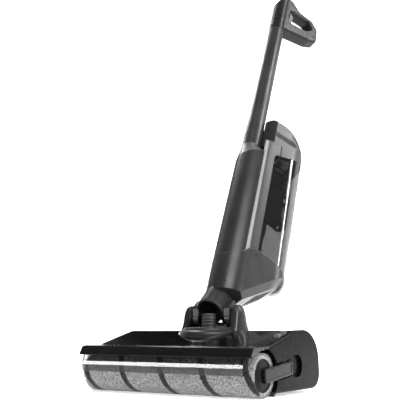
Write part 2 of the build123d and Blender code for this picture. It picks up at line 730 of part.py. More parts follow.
def make_suction_motor():
    """Fan motor in the chin, facing the exhaust grille."""
    motor = cyl_z(24.5, -14, 12) + cyl_z(17, 12, 21)
    return Pos(0, MOTOR_Y, MOTOR_Z) * Rot(45, 0, 0) * motor


def make_motor_mount():
    """Rubber ring round the fan motor."""
    return Pos(0, MOTOR_Y, MOTOR_Z) * Rot(45, 0, 0) * tube_z(27.5, 24.52, -6, 4)


# ================================ dirty water tank =======================================
def tank_side(inset):
    """Side outline of the tank: a slanting top edge and rounded front corners."""
    face = side_face([(TANK_FRONT, 60), (TANK_FRONT, TANK_TOP_FRONT), (120, TANK_TOP_REAR), (120, 60)],
                     [0, 9, 0, 0])
    return offset(face, -inset) if inset else face


def tank_body(inset):
    """Outline of the dirty water tank behind the bulkhead."""
    upright = column(0.1 + inset, 90, 420) & across(tank_side(inset), -80, 80)
    return upright & above_seam(GAP + inset, 600)


def make_dirty_tank():
    """Clear shell of the dirty water tank, open at the top."""
    inner = tank_body(2.0)
    mouth = Pos(0, 0, 20) * (inner & block(-80, 80, TANK_FRONT + 10, 200, TANK_TOP_FRONT - 60, 600))
    shell = tank_body(0) - inner - mouth
    return shell - cyl_y(12.3, 20, 34, 0, 152)


def cap_section(inset):
    """Cross-section of the cap: the body's outline with a front that tapers towards the pole."""
    half = CAP_NOSE_HALF - inset
    wide = BODY_R - inset
    front = CAP_FRONT + inset
    corners = [(-half, front), (half, front), (wide, FRONT_C + 3), (-wide, FRONT_C + 3)]
    taper = make_face(Polyline(*corners, close=True))
    rear = stadium(inset) & Pos(0, FRONT_C + 102) * Rectangle(200, 200)
    return taper + rear


def cap_level(inset, height):
    """Cross-section of the cap's dome at a height, in line with its round rear and rounded shoulders."""
    dome_base = CAP_TOP - CAP_DOME_H
    shoulder = CAP_TOP - CAP_CORNER
    reach = REAR_C + BODY_R - CAP_CREST_Y
    rise = max(height - dome_base, 0) / CAP_DOME_H
    rear = CAP_CREST_Y + reach * math.sqrt(max(1 - rise ** 2, 0))
    corner_rise = max(height - shoulder, 0) / CAP_CORNER
    rounding = math.sqrt(max(1 - corner_rise ** 2, 0))
    half = BODY_R - CAP_CORNER * (1 - rounding) - inset
    centre = max(rear - inset - half, 0)
    bar = Pos(0, centre / 2) * Rectangle(2 * half, centre)
    return Pos(0, 0, height - inset) * (bar + Pos(0, centre) * Circle(half)).face()


def cap_solid(inset):
    """Rounded cap over the tank, with a front that tapers towards the pole."""
    base = CAP_TOP - CAP_DOME_H - 60
    steps = [0.0, 0.25, 0.45, 0.62, 0.76, 0.87, 0.945, 0.985, 1.0]
    levels = [cap_level(inset, CAP_TOP - CAP_DOME_H * (1 - step)) for step in steps]
    dome = loft(levels)
    upright = Pos(0, 0, base) * extrude(cap_section(inset), CAP_TOP + 40 - base)
    lower = column(inset, base, CAP_TOP - CAP_DOME_H - inset)
    return (dome + lower) & upright


def make_tank_cap():
    """Grey cap of the tank with the latch recess at its front."""
    outer = cap_solid(0)
    inner = cap_solid(2.4) & block(-80, 80, TANK_FRONT + 2.4, 200, 0, CAP_TOP - 4)
    low_front = block(-80, 80, 0, TANK_FRONT + 12, 300, SHOULDER_Z + 0.4)
    tank_space = across(offset(tank_side(0), 0.4), -80, 80) + block(-80, 80, 0, 200, 300, TANK_TOP_FRONT - 5)
    cap = outer - inner - low_front - tank_space
    recess = block(-11, 11, CAP_FRONT - 1, CAP_FRONT + 13, 420, CAP_TOP + 5)
    pole_gap = cyl_z(COLLAR_R + 1.0, 300, 600)
    return cap - recess - pole_gap


def make_tank_latch():
    """Push latch in the cap's recess that frees the tank."""
    plate = block(-10.6, 10.6, CAP_FRONT + 7.4, CAP_FRONT + 9.9, 422, 462)
    return plate + block(-10.6, 10.6, CAP_FRONT + 6.0, CAP_FRONT + 9.9, 455, 462)


def make_tank_seal():
    """Rubber gasket between the tank and its cap."""
    slope = math.degrees(math.atan((TANK_TOP_REAR - TANK_TOP_FRONT) / (120 - TANK_FRONT)))
    ring = (column(2.4, 300, 460) - column(5.4, 290, 470)) & block(-80, 80, TANK_FRONT + 12, 200, 0, 600)
    band = Pos(0, TANK_FRONT, TANK_TOP_FRONT) * Rot(slope, 0, 0) * block(-80, 80, 4, 200, -3.2, -0.3)
    return ring & band


def make_tank_riser():
    """Riser pipe from the tank's port up to the separator."""
    elbow = cyl_y(12.0, TANK_FRONT - 0.5, 46, 0, 152) + cyl_z(12.0, 152, 300, 0, 46)
    elbow = elbow + Pos(0, 46, 152) * Sphere(12.0)
    bore = cyl_y(10.4, TANK_FRONT - 1.5, 46, 0, 152) + cyl_z(10.4, 152, 301, 0, 46)
    bore = bore + Pos(0, 46, 152) * Sphere(10.4)
    return elbow - bore


def make_filter_cage():
    """Separator cage that hangs in the upper part of the tank."""
    outer = block(-27, 27, 33, 74, 302, TANK_TOP_FRONT - 5) + block(-27, -14.5, 36, 70, 226, 303)
    outer = outer + block(14.5, 27, 36, 70, 226, 303)
    inner = block(-25, 25, 35, 72, 304, TANK_TOP_FRONT) + block(-25, -16.5, 38, 68, 228, 306)
    inner = inner + block(16.5, 25, 38, 68, 228, 306)
    cage = outer - inner - cyl_z(12.3, 290, 310, 0, 46)
    for index in range(4):
        cage = cage - block(-40, 40, 42, 66, 310 + index * 14, 316 + index * 14)
    return cage


def make_tank_filter():
    """Pleated filter in the cap above the cage."""
    body = cyl_z(20, SHOULDER_Z + 3, SHOULDER_Z + 38, 0, 64)
    for index in range(18):
        pleat = Rot(0, 0, index * 20) * block(18.4, 22, -0.9, 0.9, SHOULDER_Z + 6, SHOULDER_Z + 35)
        body = body - Pos(0, 64, 0) * pleat
    return body - cyl_z(9, SHOULDER_Z, SHOULDER_Z + 30, 0, 64)


def make_tank_float():
    """Float that shuts the air path when the tank is full."""
    return cyl_z(8.0, 268, 288, 0, FLOAT_Y) + cyl_z(3.0, 286, 300, 0, FLOAT_Y)


def make_float_guide():
    """Guide posts that the float slides between."""
    guide = tube_z(11.5, 8.4, 250, 320, 0, FLOAT_Y)
    for angle in (0, 90, 180, 270):
        guide = guide - Pos(0, FLOAT_Y, 285) * Rot(0, 0, angle) * block(5, 14, -5, 5, -30, 30)
    return guide + block(-11, 11, 74.2, FLOAT_Y - 9, 308, 320)


# ================================ handle =================================================
def make_handle():
    """Loop handle: a socket round the pole's top with a closed loop behind it."""
    outer = side_face([
        (-8, 796), (20, 802), (80, 822), (102, 838), (101, 884),
        (82, 906), (46, 907), (24, 930), (6, 933), (-8, 910),
    ], [0, 14, 14, 14, 22, 16, 12, 10, 8, 0])
    inner = side_face([(22, 842), (66, 852), (78, 862), (79, 880), (68, 892), (24, 888)], [7, 10, 7, 8, 8, 7])
    loop = across(outer - inner, -LOOP_HALF_W, LOOP_HALF_W)
    rims = [edge for edge in loop.edges()
            if abs(abs(edge.center().X) - LOOP_HALF_W) < 0.1 and edge.center().Y > -6]
    loop = soften(loop, rims, (7.0, 6.0, 5.0, 4.0, 3.0, 2.0))
    hollow = across(offset(outer - inner, -2.6), -LOOP_HALF_W + 2.6, LOOP_HALF_W - 2.6)
    loop = loop - hollow
    socket = cyl_z(GRIP_R, GRIP_BOTTOM, 940)
    crown = across(side_face([(-30, 770), (40, 770), (40, 950), (14, 938), (-2, 924), (-18, 888), (-30, 860)],
                             [0, 0, 0, 14, 20, 20, 0]), -40, 40)
    handle = loop + (socket & crown)
    handle = handle - cyl_z(SPIGOT_R + 0.02, GRIP_BOTTOM - 5, POLE_TOP + 0.3)
    handle = handle - power_button_frame() * cyl_z(6.9, -2.9, 4) - mode_button_frame() * cyl_z(5.2, -2.9, 4)
    return handle - block(-8.4, 8.4, TRIGGER_BACK - 3.0, TRIGGER_BACK + 4, 845.4, 884.6)


def power_button_frame():
    """Location of the power button on the handle's top strut."""
    return Pos(0, 56, 906.8)


def mode_button_frame():
    """Location of the mode button behind the power button."""
    return Pos(0, 72, 906.3)


def make_power_button():
    """Power button on the handle's top, facing the user."""
    return power_button_frame() * cyl_z(6.5, -1.6, 1.2)


def make_mode_button():
    """Mode button behind the power button."""
    return mode_button_frame() * cyl_z(4.8, -1.6, 1.0)


def make_trigger():
    """Clean-water trigger inside the loop."""
    back = TRIGGER_BACK
    corners = [(back, 846), (back + 8, 852), (back + 9, 876), (back + 3, 884), (back, 884)]
    face = side_face(corners, [0, 4, 5, 3, 0])
    return across(face, -8, 8)


# ================================ placing ================================================
def swivel_axis():
    """Direction of the swivel axis in the head frame."""
    lean = math.radians(NECK_LEAN)
    return (0, math.sin(lean), math.cos(lean))


def swivel_point():
    """Point of the swivel axis level with the recline axis, in the head frame."""
    lean = math.radians(NECK_LEAN)
    return (0, PIVOT[1] - SWIVEL_OFFSET * math.cos(lean), PIVOT[2] + SWIVEL_OFFSET * math.sin(lean))


def place_neck(shape):
    """Move a neck piece from its own frame to the head frame."""
    return Pos(*PIVOT) * Rot(-NECK_LEAN, 0, 0) * shape


def place_body(shape):
    """Move a body piece from its own frame to the head frame at the stored lean and steer."""
    leant = Pos(*PIVOT) * Rot(-BODY_LEAN, 0, 0) * Pos(0, BODY_Y, BODY_Z) * shape
    return leant.rotate(Axis(swivel_point(), swivel_axis()), -STEER)


HEAD_PIECES = {
    "chassis": make_chassis,
    "deck": make_deck,
    "side_panel_right": make_side_panel_right,
    "side_panel_left": make_side_panel_left,
    "front_cover": make_front_cover,
    "cover_window": make_cover_window,
    "cover_lip": make_cover_lip,
    "latch_base": make_latch_base,
    "latch_tabs": make_latch_tabs,
    "turret": make_turret,
    "hinge_pins": make_hinge_pins,
    "neck_hose": make_neck_hose,
    "head_duct": make_head_duct,
    "outlet_seal": make_outlet_seal,
    "scraper": make_scraper,
    "spray_bar": make_spray_bar,
    "squeegee": make_squeegee,
    "wheel_left": lambda: make_wheel(-1),
    "wheel_right": lambda: make_wheel(1),
    "tyre_left": lambda: make_tyre(-1),
    "tyre_right": lambda: make_tyre(1),
    "wheel_axles": make_wheel_axles,
    "base_screws": make_base_screws,
    "brush_motor": make_brush_motor,
    "brush_gearbox": make_brush_gearbox,
    "drive_coupling": make_drive_coupling,
    "roller_core": make_roller_core,
    "roller_fleece": make_roller_fleece,
    "roller_bearing": make_roller_bearing,
    "roller_arm": make_roller_arm,
    "roller_end_disc": make_roller_end_disc,
}

NECK_PIECES = {
    "neck_sleeve": make_neck_sleeve,
}

BODY_PIECES = {
    "swivel_ring": lambda: swivel_frame() * make_swivel_ring(),
    "lower_body": make_lower_body,
    "exhaust_grille": make_exhaust_grille,
    "front_shell": make_front_shell,
    "rear_frame": make_rear_frame,
    "pole": make_pole,
    "pole_button": make_pole_button,
    "battery_case": make_battery_case,
    "battery_cells": make_battery_cells,
    "circuit_board": make_circuit_board,
    "clean_water_tank": make_clean_water_tank,
    "inlet_duct": make_inlet_duct,
    "water_pump": make_water_pump,
    "suction_motor": make_suction_motor,
    "motor_mount": make_motor_mount,
    "dirty_tank": make_dirty_tank,
    "tank_cap": make_tank_cap,
    "tank_latch": make_tank_latch,
    "tank_seal": make_tank_seal,
    "tank_riser": make_tank_riser,
    "filter_cage": make_filter_cage,
    "tank_filter": make_tank_filter,
    "tank_float": make_tank_float,
    "float_guide": make_float_guide,
    "handle": make_handle,
    "power_button": make_power_button,
    "mode_button": make_mode_button,
    "trigger": make_trigger,
}


def solids_of(shape):
    """Flatten a piece or a list of pieces to its solids."""
    if isinstance(shape, list) and not hasattr(shape, "wrapped"):
        found = []
        for item in shape:
            found.extend(item.solids())
        return found
    return list(shape.solids())


def as_one(solids):
    """One shape for a node: a single solid, or a group of separate ones."""
    if len(solids) == 1:
        return solids[0]
    return Compound(children=solids)


def build_all():
    """Every node in the head frame."""
    nodes = {}
    for name, make in HEAD_PIECES.items():
        nodes[name] = solids_of(make())
    for name, make in NECK_PIECES.items():
        nodes[name] = [place_neck(solid) for solid in solids_of(make())]
    for name, make in BODY_PIECES.items():
        nodes[name] = [place_body(solid) for solid in solids_of(make())]
    return nodes


def row_shift(nodes):
    """Shift that puts the origin at the middle of the bottom of the whole object's box."""
    boxes = [solid.bounding_box() for solids in nodes.values() for solid in solids]
    low = [min(getattr(box.min, axis) for box in boxes) for axis in "XYZ"]
    high = [max(getattr(box.max, axis) for box in boxes) for axis in "XYZ"]
    return (-(low[0] + high[0]) / 2, -(low[1] + high[1]) / 2, -low[2])


os.makedirs("parts", exist_ok=True)
NODES = build_all()
SHIFT = row_shift(NODES)
for node_name, node_solids in NODES.items():
    export_step(as_one([Pos(*SHIFT) * solid for solid in node_solids]), f"parts/{node_name}.step")
print("row shift", [round(value, 4) for value in SHIFT])
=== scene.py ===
import bpy
import bmesh
import json
import math
import random
from mathutils import Matrix, Vector, noise


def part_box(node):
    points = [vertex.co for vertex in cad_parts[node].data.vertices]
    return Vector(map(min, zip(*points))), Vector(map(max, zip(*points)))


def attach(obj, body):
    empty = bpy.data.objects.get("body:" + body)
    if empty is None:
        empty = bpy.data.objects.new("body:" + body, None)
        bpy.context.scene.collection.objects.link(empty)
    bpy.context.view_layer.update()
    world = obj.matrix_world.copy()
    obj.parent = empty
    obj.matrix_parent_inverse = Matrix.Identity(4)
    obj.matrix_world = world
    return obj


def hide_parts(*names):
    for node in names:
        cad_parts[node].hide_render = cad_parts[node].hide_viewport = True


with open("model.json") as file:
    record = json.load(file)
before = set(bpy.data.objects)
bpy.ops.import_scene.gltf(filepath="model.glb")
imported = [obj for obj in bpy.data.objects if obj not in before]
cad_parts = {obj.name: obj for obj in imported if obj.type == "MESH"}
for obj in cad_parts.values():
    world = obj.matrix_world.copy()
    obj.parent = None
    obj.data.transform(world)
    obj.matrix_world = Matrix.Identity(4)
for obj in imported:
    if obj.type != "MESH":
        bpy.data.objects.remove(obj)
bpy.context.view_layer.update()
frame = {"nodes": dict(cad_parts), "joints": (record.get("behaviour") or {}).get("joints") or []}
NODES = frame["nodes"]
MM = 0.001
PHOTO_TURN = math.radians(33.8)             # how far the photo's camera stands to the right of the front
CAMERA_TILT = math.radians(9.93)            # how far it looks upward
CAMERA_FROM_HEAD = Vector((0.6305, -0.8734, 0.0861))
LENS_MM = 67.6
SENSOR_MM = 36.0
CHANNEL_EDGE = 0.0151                       # the channel ahead of this, behind the pole's axis, gets a painted highlight
POLE_MIDDLE_UP = 0.6461                     # the pole's centre above the origin of body_point


# ------------------------------------------------------------------ places from the frame
def centre(node):
    low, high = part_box(node)
    return (Vector(low) + Vector(high)) / 2


def joint(name):
    return next(j for j in frame["joints"] if j["name"] == name)


ROLLER = Vector(joint("roller_spin")["pos_m"])
HEAD = Vector((centre("roller_core").x, ROLLER.y, 0))
PIVOT = Vector(joint("neck_recline")["pos_m"])
BODY_UP = Vector(joint("float_rise")["axis"])
BODY_BACK = Vector(joint("tank_pull")["axis"])
BODY_SIDE = BODY_BACK.cross(BODY_UP).normalized()


# ------------------------------------------------------------------ node tree helpers
def new_material(name):
    material = bpy.data.materials.new(name)
    material.use_nodes = True
    tree = material.node_tree
    return material, tree, tree.nodes["Principled BSDF"]


def add(tree, kind, **settings):
    node = tree.nodes.new(kind)
    for key, value in settings.items():
        setattr(node, key, value)
    return node


def noise_node(tree, vector, scale, detail=3.0, rough=0.5):
    node = add(tree, "ShaderNodeTexNoise")
    node.inputs["Scale"].default_value = scale
    node.inputs["Detail"].default_value = detail
    node.inputs["Roughness"].default_value = rough
    tree.links.new(vector, node.inputs["Vector"])
    return node.outputs["Fac"]


def ramp_value(tree, source, low, high, out_low, out_high):
    node = add(tree, "ShaderNodeMapRange")
    node.inputs["From Min"].default_value = low
    node.inputs["From Max"].default_value = high
    node.inputs["To Min"].default_value = out_low
    node.inputs["To Max"].default_value = out_high
    tree.links.new(source, node.inputs["Value"])
    return node.outputs["Result"]


def mix_colours(tree, factor, first, second):
    node = add(tree, "ShaderNodeMix", data_type="RGBA")
    for socket, value in ((node.inputs[6], first), (node.inputs[7], second)):
        if isinstance(value, tuple):
            socket.default_value = (*value, 1.0)
        else:
            tree.links.new(value, socket)
    tree.links.new(factor, node.inputs[0])
    return node.outputs[2]


def maths(tree, operation, first, second=None):
    node = add(tree, "ShaderNodeMath", operation=operation)
    for socket, value in ((node.inputs[0], first), (node.inputs[1], second)):
        if value is None:
            continue
        if isinstance(value, (int, float)):
            socket.default_value = value
        else:
            tree.links.new(value, socket)
    return node.outputs[0]


def bump(tree, shader, height, strength, distance):
    node = add(tree, "ShaderNodeBump")
    node.inputs["Strength"].default_value = strength
    node.inputs["Distance"].default_value = distance
    tree.links.new(height, node.inputs["Height"])
    tree.links.new(node.outputs["Normal"], shader.inputs["Normal"])


def object_coords(tree):
    return add(tree, "ShaderNodeTexCoord").outputs["Object"]


# ------------------------------------------------------------------ materials
COLOUR_DRIFT = 0.22                         # share by which a plastic's colour wanders
GRAIN_SCALE = 2600.0                        # spark-eroded grain, per metre
SMUDGE_SCALE = 46.0
GLOSS_ROUGHNESS = 0.07


def plastic(name, colour, rough, grain=0.12, metal=0.0, sheen=0.5):
    """Moulded plastic or coated metal: fine spark-eroded grain, uneven sheen and faint colour drift."""
    material, tree, shader = new_material(name)
    coords = object_coords(tree)
    drift = noise_node(tree, coords, 14.0, 4.0)
    lighter = tuple(min(1.0, c * (1 + COLOUR_DRIFT)) for c in colour)
    darker = tuple(c * (1 - COLOUR_DRIFT) for c in colour)
    colour_out = mix_colours(tree, ramp_value(tree, drift, 0.3, 0.7, 0, 1), darker, lighter)
    fleck = ramp_value(tree, noise_node(tree, coords, 900.0, 2.0), 0.62, 0.8, 0.0, 0.15)
    tree.links.new(mix_colours(tree, fleck, colour_out, lighter), shader.inputs["Base Color"])
    smudge = noise_node(tree, coords, SMUDGE_SCALE, 5.0, 0.6)
    sheen_map = ramp_value(tree, smudge, 0.3, 0.7, rough - 0.03, rough + 0.04)
    tree.links.new(sheen_map, shader.inputs["Roughness"])
    bump(tree, shader, noise_node(tree, coords, GRAIN_SCALE, 2.0), grain, 0.0001)
    shader.inputs["Metallic"].default_value = metal
    shader.inputs["Specular IOR Level"].default_value = sheen
    return material


def satin_with_painted_highlight(name, colour, light, rough, edge):
    """Satin coating whose front channel, ahead of the edge, is painted a lighter tone: a painted highlight
    for the light its bevel catches.
    """
    material = plastic(name, colour, rough, grain=0.05, metal=0.45)
    tree = material.node_tree
    shader = tree.nodes["Principled BSDF"]
    base = shader.inputs["Base Color"].links[0].from_socket
    offset = add(tree, "ShaderNodeVectorMath", operation="SUBTRACT")
    tree.links.new(object_coords(tree), offset.inputs[0])
    offset.inputs[1].default_value = centre("pole")
    back = add(tree, "ShaderNodeVectorMath", operation="DOT_PRODUCT")
    tree.links.new(offset.outputs["Vector"], back.inputs[0])
    back.inputs[1].default_value = BODY_BACK
    # painted highlight: everything ahead of the edge takes the lighter colour
    channel_highlight = ramp_value(tree, back.outputs["Value"], edge - 0.0004, edge, 1.0, 0.0)
    tree.links.new(mix_colours(tree, channel_highlight, base, light), shader.inputs["Base Color"])
    return material


def gloss_black(name):
    """Piano black: deep colour, clear coat, very faint swirl marks and orange peel."""
    material, tree, shader = new_material(name)
    coords = object_coords(tree)
    haze = noise_node(tree, coords, 30.0, 4.0)
    colour = mix_colours(tree, haze, (0.0035, 0.0035, 0.004), (0.007, 0.007, 0.0075))
    tree.links.new(colour, shader.inputs["Base Color"])
    stretch = add(tree, "ShaderNodeMapping")
    stretch.inputs["Scale"].default_value = (1.0, 14.0, 14.0)
    tree.links.new(coords, stretch.inputs["Vector"])
    swirl = noise_node(tree, stretch.outputs["Vector"], 160.0, 3.0)
    swirl_map = ramp_value(tree, swirl, 0.35, 0.75, GLOSS_ROUGHNESS - 0.02, GLOSS_ROUGHNESS + 0.05)
    tree.links.new(swirl_map, shader.inputs["Roughness"])
    peel = noise_node(tree, coords, 220.0, 1.0)
    bump(tree, shader, peel, 0.05, 0.0003)
    shader.inputs["Coat Weight"].default_value = 0.2
    shader.inputs["Coat Roughness"].default_value = 0.03
    return material


def smoked(name, colour, cover, rough=0.03, haze_scale=60.0):
    """Smoked clear plastic with light water marks; cover is how much each wall hides."""
    material, tree, shader = new_material(name)
    coords = object_coords(tree)
    marks = noise_node(tree, coords, haze_scale, 5.0, 0.65)
    darker = tuple(c * 0.7 for c in colour)
    tree.links.new(mix_colours(tree, marks, darker, colour), shader.inputs["Base Color"])
    tree.links.new(ramp_value(tree, marks, 0.45, 0.75, rough, rough + 0.05), shader.inputs["Roughness"])
    tree.links.new(ramp_value(tree, marks, 0.3, 0.8, cover - 0.03, cover + 0.05), shader.inputs["Alpha"])
    shader.inputs["Specular IOR Level"].default_value = 0.6
    shader.inputs["Coat Weight"].default_value = 0.3
    shader.inputs["Coat Roughness"].default_value = 0.02
    return material


def rubber(name, colour=(0.012, 0.012, 0.012), rough=0.62):
    """Matt rubber with a dusty, pitted surface."""
    material, tree, shader = new_material(name)
    coords = object_coords(tree)
    dust = noise_node(tree, coords, 90.0, 6.0, 0.7)
    lighter = tuple(c * 2.4 + 0.004 for c in colour)
    dusted = mix_colours(tree, ramp_value(tree, dust, 0.45, 0.75, 0, 1), colour, lighter)
    tree.links.new(dusted, shader.inputs["Base Color"])
    tree.links.new(ramp_value(tree, dust, 0.3, 0.7, rough - 0.08, rough + 0.12), shader.inputs["Roughness"])
    bump(tree, shader, noise_node(tree, coords, 1500.0, 3.0), 0.3, 0.0003)
    return material


def metal(name, colour, rough):
    """Turned or brushed metal with streaks along X."""
    material, tree, shader = new_material(name)
    coords = object_coords(tree)
    stretch = add(tree, "ShaderNodeMapping")
    stretch.inputs["Scale"].default_value = (1.0, 30.0, 30.0)
    tree.links.new(coords, stretch.inputs["Vector"])
    streak = noise_node(tree, stretch.outputs["Vector"], 60.0, 4.0)
    darker = tuple(c * 0.75 for c in colour)
    tree.links.new(mix_colours(tree, streak, darker, colour), shader.inputs["Base Color"])
    tree.links.new(ramp_value(tree, streak, 0.3, 0.7, rough - 0.07, rough + 0.1), shader.inputs["Roughness"])
    bump(tree, shader, streak, 0.08, 0.0002)
    shader.inputs["Metallic"].default_value = 1.0
    return material


def fleece_material(name, pitch, width, offset):
    """Short-pile fleece: salt-and-pepper tufts with a dark stripe that winds round the roller."""
    material, tree, shader = new_material(name)
    coords = object_coords(tree)
    local = add(tree, "ShaderNodeMapping")
    local.inputs["Location"].default_value = (-ROLLER.x, -ROLLER.y, -ROLLER.z)
    tree.links.new(coords, local.inputs["Vector"])
    split = add(tree, "ShaderNodeSeparateXYZ")
    tree.links.new(local.outputs["Vector"], split.inputs[0])
    down = maths(tree, "MULTIPLY", split.outputs["Z"], -1.0)
    front = maths(tree, "MULTIPLY", split.outputs["Y"], -1.0)
    angle = maths(tree, "ARCTAN2", down, front)
    turn = maths(tree, "DIVIDE", angle, 2 * math.pi)
    centred = maths(tree, "SUBTRACT", noise_node(tree, coords, 260.0, 2.0), 0.5)
    wobble = maths(tree, "MULTIPLY", centred, 0.045)
    along = maths(tree, "ADD", maths(tree, "DIVIDE", split.outputs["X"], pitch), offset)
    phase = maths(tree, "FRACT", maths(tree, "ADD", maths(tree, "SUBTRACT", along, turn), wobble))
    from_middle = maths(tree, "ABSOLUTE", maths(tree, "SUBTRACT", phase, 0.5))
    stripe = ramp_value(tree, from_middle, width * 0.42, width * 0.58, 1.0, 0.0)
    tuft = noise_node(tree, coords, 1150.0, 2.0, 0.6)
    clump = noise_node(tree, coords, 420.0, 3.0, 0.6)
    blend = maths(tree, "ADD", maths(tree, "MULTIPLY", tuft, 0.6), maths(tree, "MULTIPLY", clump, 0.4))
    pepper = ramp_value(tree, blend, 0.40, 0.60, 0.0, 1.0)
    ground = mix_colours(tree, pepper, (0.045, 0.045, 0.047), (0.52, 0.52, 0.51))
    band = mix_colours(tree, pepper, (0.004, 0.004, 0.004), (0.035, 0.035, 0.036))
    tree.links.new(mix_colours(tree, stripe, ground, band), shader.inputs["Base Color"])
    shader.inputs["Roughness"].default_value = 0.95
    shader.inputs["Specular IOR Level"].default_value = 0.15
    shader.inputs["Sheen Weight"].default_value = 0.25
    shader.inputs["Sheen Roughness"].default_value = 0.5
    bump(tree, shader, tuft, 0.9, 0.0009)
    return material


def cloth(name, colour):
    """Woven filter cloth."""
    material, tree, shader = new_material(name)
    coords = object_coords(tree)
    wave = add(tree, "ShaderNodeTexWave", bands_direction="X")
    wave.inputs["Scale"].default_value = 900.0
    wave.inputs["Distortion"].default_value = 1.5
    tree.links.new(coords, wave.inputs["Vector"])
    cross = add(tree, "ShaderNodeTexWave", bands_direction="Z")
    cross.inputs["Scale"].default_value = 900.0
    cross.inputs["Distortion"].default_value = 1.5
    tree.links.new(coords, cross.inputs["Vector"])
    weave = maths(tree, "MULTIPLY", wave.outputs["Fac"], cross.outputs["Fac"])
    soil = noise_node(tree, coords, 60.0, 5.0)
    darker = tuple(c * 0.6 for c in colour)
    soiled = mix_colours(tree, maths(tree, "MULTIPLY", soil, weave), darker, colour)
    tree.links.new(soiled, shader.inputs["Base Color"])
    shader.inputs["Roughness"].default_value = 0.9
    bump(tree, shader, weave, 0.5, 0.0004)
    return material


def board_material(name):
    """Green circuit board with a grid of copper-coloured tracks."""
    material, tree, shader = new_material(name)
    coords = object_coords(tree)
    brick = add(tree, "ShaderNodeTexBrick")
    brick.inputs["Scale"].default_value = 120.0
    brick.inputs["Color1"].default_value = (0.008, 0.06, 0.03, 1)
    brick.inputs["Color2"].default_value = (0.012, 0.09, 0.04, 1)
    brick.inputs["Mortar"].default_value = (0.35, 0.22, 0.06, 1)
    brick.inputs["Mortar Size"].default_value = 0.012
    tree.links.new(coords, brick.inputs["Vector"])
    tree.links.new(brick.outputs["Color"], shader.inputs["Base Color"])
    gloss_map = ramp_value(tree, noise_node(tree, coords, 90.0), 0.3, 0.7, 0.25, 0.45)
    tree.links.new(gloss_map, shader.inputs["Roughness"])
    return material


# ------------------------------------------------------------------ mesh helpers
def make_object(name, verts, faces, material, body, smooth=True, replaced=()):
    mesh = bpy.data.meshes.new(name)
    mesh.from_pydata([tuple(v) for v in verts], [], faces)
    mesh.validate()
    mesh.update()
    obj = bpy.data.objects.new(name, mesh)
    bpy.context.scene.collection.objects.link(obj)
    mesh.materials.append(material)
    for polygon in mesh.polygons:
        polygon.use_smooth = smooth
    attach(obj, body)
    if replaced:
        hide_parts(*replaced)
    return obj


def rings_to_faces(rings, count, closed_ends=True):
    """Faces between successive rings of count points."""
    faces = []
    for r in range(rings - 1):
        for i in range(count):
            j = (i + 1) % count
            faces.append((r * count + i, r * count + j, (r + 1) * count + j, (r + 1) * count + i))
    if closed_ends:
        faces.append(tuple(reversed(range(count))))
        faces.append(tuple((rings - 1) * count + i for i in range(count)))
    return faces


def lathe(profile, count, origin, axis):
    """Points turned about an axis from (distance along, radius) pairs."""
    axis = axis.normalized()
    side = Vector((0, 0, 1)) if abs(axis.z) < 0.9 else Vector((1, 0, 0))
    side = (side - axis * side.dot(axis)).normalized()
    other = axis.cross(side)
    verts = []
    for along, radius in profile:
        for i in range(count):
            t = 2 * math.pi * i / count
            offset = side * (radius * math.cos(t)) + other * (radius * math.sin(t))
            verts.append(origin + axis * along + offset)
    return verts


def closed_lathe_faces(rings, count):
    """Faces of a lathe whose profile is a closed loop."""
    faces = []
    for r in range(rings):
        q = (r + 1) % rings
        for i in range(count):
            j = (i + 1) % count
            faces.append((r * count + i, r * count + j, q * count + j, q * count + i))
    return faces


def fix_normals(obj):
    bm = bmesh.new()
    bm.from_mesh(obj.data)
    bmesh.ops.recalc_face_normals(bm, faces=bm.faces)
    bm.to_mesh(obj.data)
    bm.free()


# ------------------------------------------------------------------ camera, floor and light
def set_camera():
    data = bpy.data.cameras.new("camera")
    camera = bpy.data.objects.new("camera", data)
    bpy.context.scene.collection.objects.link(camera)
    camera.location = HEAD + CAMERA_FROM_HEAD
    camera.rotation_euler = (math.radians(90) + CAMERA_TILT, 0, PHOTO_TURN)
    data.sensor_width = SENSOR_MM
    data.lens = LENS_MM
    data.clip_start = 0.05
    bpy.context.scene.camera = camera


def area_light(name, location, target, size_x, size_y, power):
    data = bpy.data.lights.new(name, "AREA")
    data.shape = "RECTANGLE"
    data.size = size_x
    data.size_y = size_y
    data.energy = power
    light = bpy.data.objects.new(name, data)
    light.location = location
    direction = Vector(target) - Vector(location)
    light.rotation_euler = direction.to_track_quat("-Z", "Y").to_euler()
    bpy.context.scene.collection.objects.link(light)
    return light


def set_stage():
    """Pale floor that curves up behind the object."""
    flat_end, bend, bend_steps, half_width = 1.6, 0.9, 12, 5.0
    profile = [(-3.0, 0.0), (flat_end, 0.0)]
    for i in range(1, bend_steps + 1):
        t = math.pi / 2 * i / bend_steps
        profile.append((flat_end + bend * math.sin(t), bend - bend * math.cos(t)))
    profile.append((flat_end + bend, 2.6))
    turn = Matrix.Rotation(PHOTO_TURN, 4, "Z")
    verts = []
    for y, z in profile:
        for x in (-half_width, half_width):
            verts.append(turn @ Vector((x, y, z)))
    faces = [(2 * i, 2 * i + 1, 2 * i + 3, 2 * i + 2) for i in range(len(profile) - 1)]
    mesh = bpy.data.meshes.new("floor")
    mesh.from_pydata([tuple(v) for v in verts], [], faces)
    for polygon in mesh.polygons:
        polygon.use_smooth = True
    floor = bpy.data.objects.new("floor", mesh)
    bpy.context.scene.collection.objects.link(floor)
    material, tree, shader = new_material("floor_paper")
    fibre = noise_node(tree, object_coords(tree), 40.0, 5.0)
    paper = mix_colours(tree, fibre, (0.90, 0.90, 0.90), (0.93, 0.93, 0.93))
    tree.links.new(paper, shader.inputs["Base Color"])
    shader.inputs["Roughness"].default_value = 0.9
    shader.inputs["Specular IOR Level"].default_value = 0.1
    shader.inputs["Emission Color"].default_value = (1, 1, 1, 1)
    shader.inputs["Emission Strength"].default_value = 0.55
    mesh.materials.append(material)


